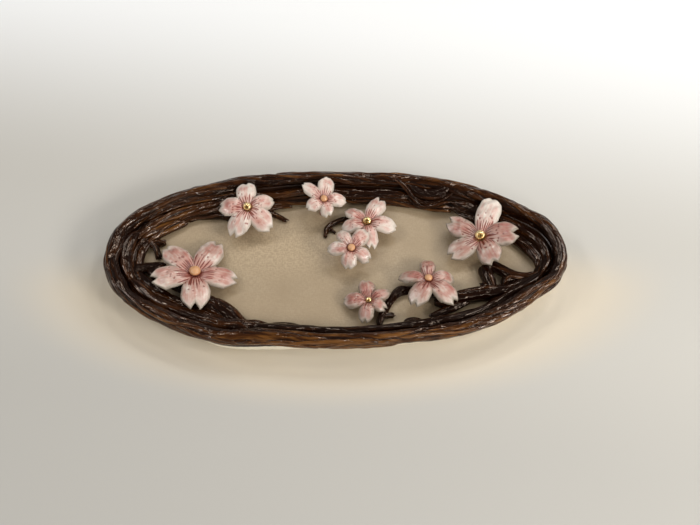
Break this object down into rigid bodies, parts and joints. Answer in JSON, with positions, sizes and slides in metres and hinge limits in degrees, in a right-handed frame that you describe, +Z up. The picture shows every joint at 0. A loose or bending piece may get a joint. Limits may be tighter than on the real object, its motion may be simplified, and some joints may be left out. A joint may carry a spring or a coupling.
{
  "type": "oval ceramic dish with cherry blossom sprigs",
  "caption": "Shallow oval stoneware dish with a dark bark-textured rim, twigs across its floor and applied pink cherry blossoms, for serving or holding small things.",
  "frame": {"origin": "centre of the dish's outline, on the plane of its foot", "axes": "+X along the length of the oval, +Y across it towards the side with three blossoms on the wall, +Z up"},
  "size_m": [0.2706, 0.1233, 0.0255],
  "materials": {
    "buff_satin_glaze": "satin buff glaze with fine specks",
    "bark_glaze": "glossy dark brown glaze that breaks to amber on its ridges",
    "petal_glaze": "pink and white petal glaze, rosy towards the middle",
    "bead_gold_lustre": "bright gold lustre fired over the glaze",
    "bead_peach_glaze": "peach orange glaze"
  },
  "bodies": {
    "root": {"dish_body": "buff_satin_glaze", "rim_coil_left": "bark_glaze", "rim_coil_front": "bark_glaze", "rim_coil_right": "bark_glaze", "rim_coil_back": "bark_glaze", "upper_coil_back_left": "bark_glaze", "upper_coil_left_end": "bark_glaze", "upper_coil_front_left": "bark_glaze", "upper_coil_front": "bark_glaze", "upper_coil_front_right": "bark_glaze", "upper_coil_right_end": "bark_glaze", "upper_coil_back": "bark_glaze", "lower_coil_left_end": "bark_glaze", "lower_coil_back_left": "bark_glaze", "lower_coil_back": "bark_glaze", "lower_coil_back_right": "bark_glaze", "lower_coil_right_end": "bark_glaze", "lower_coil_front": "bark_glaze", "branch_front_left": "bark_glaze", "branch_right": "bark_glaze", "branch_back_left": "bark_glaze", "twig_middle": "bark_glaze", "twig_left": "bark_glaze", "knot_front": "bark_glaze", "blossom_left": "petal_glaze", "blossom_back_left": "petal_glaze", "blossom_back": "petal_glaze", "blossom_middle_back": "petal_glaze", "blossom_middle_front": "petal_glaze", "blossom_front": "petal_glaze", "blossom_front_right": "petal_glaze", "blossom_right": "petal_glaze", "bead_left": "bead_peach_glaze", "bead_back_left": "bead_gold_lustre", "bead_back": "bead_peach_glaze", "bead_middle_back": "bead_gold_lustre", "bead_middle_front": "bead_peach_glaze", "bead_front": "bead_gold_lustre", "bead_front_right": "bead_peach_glaze", "bead_right": "bead_gold_lustre"}
  },
  "joints": []
}
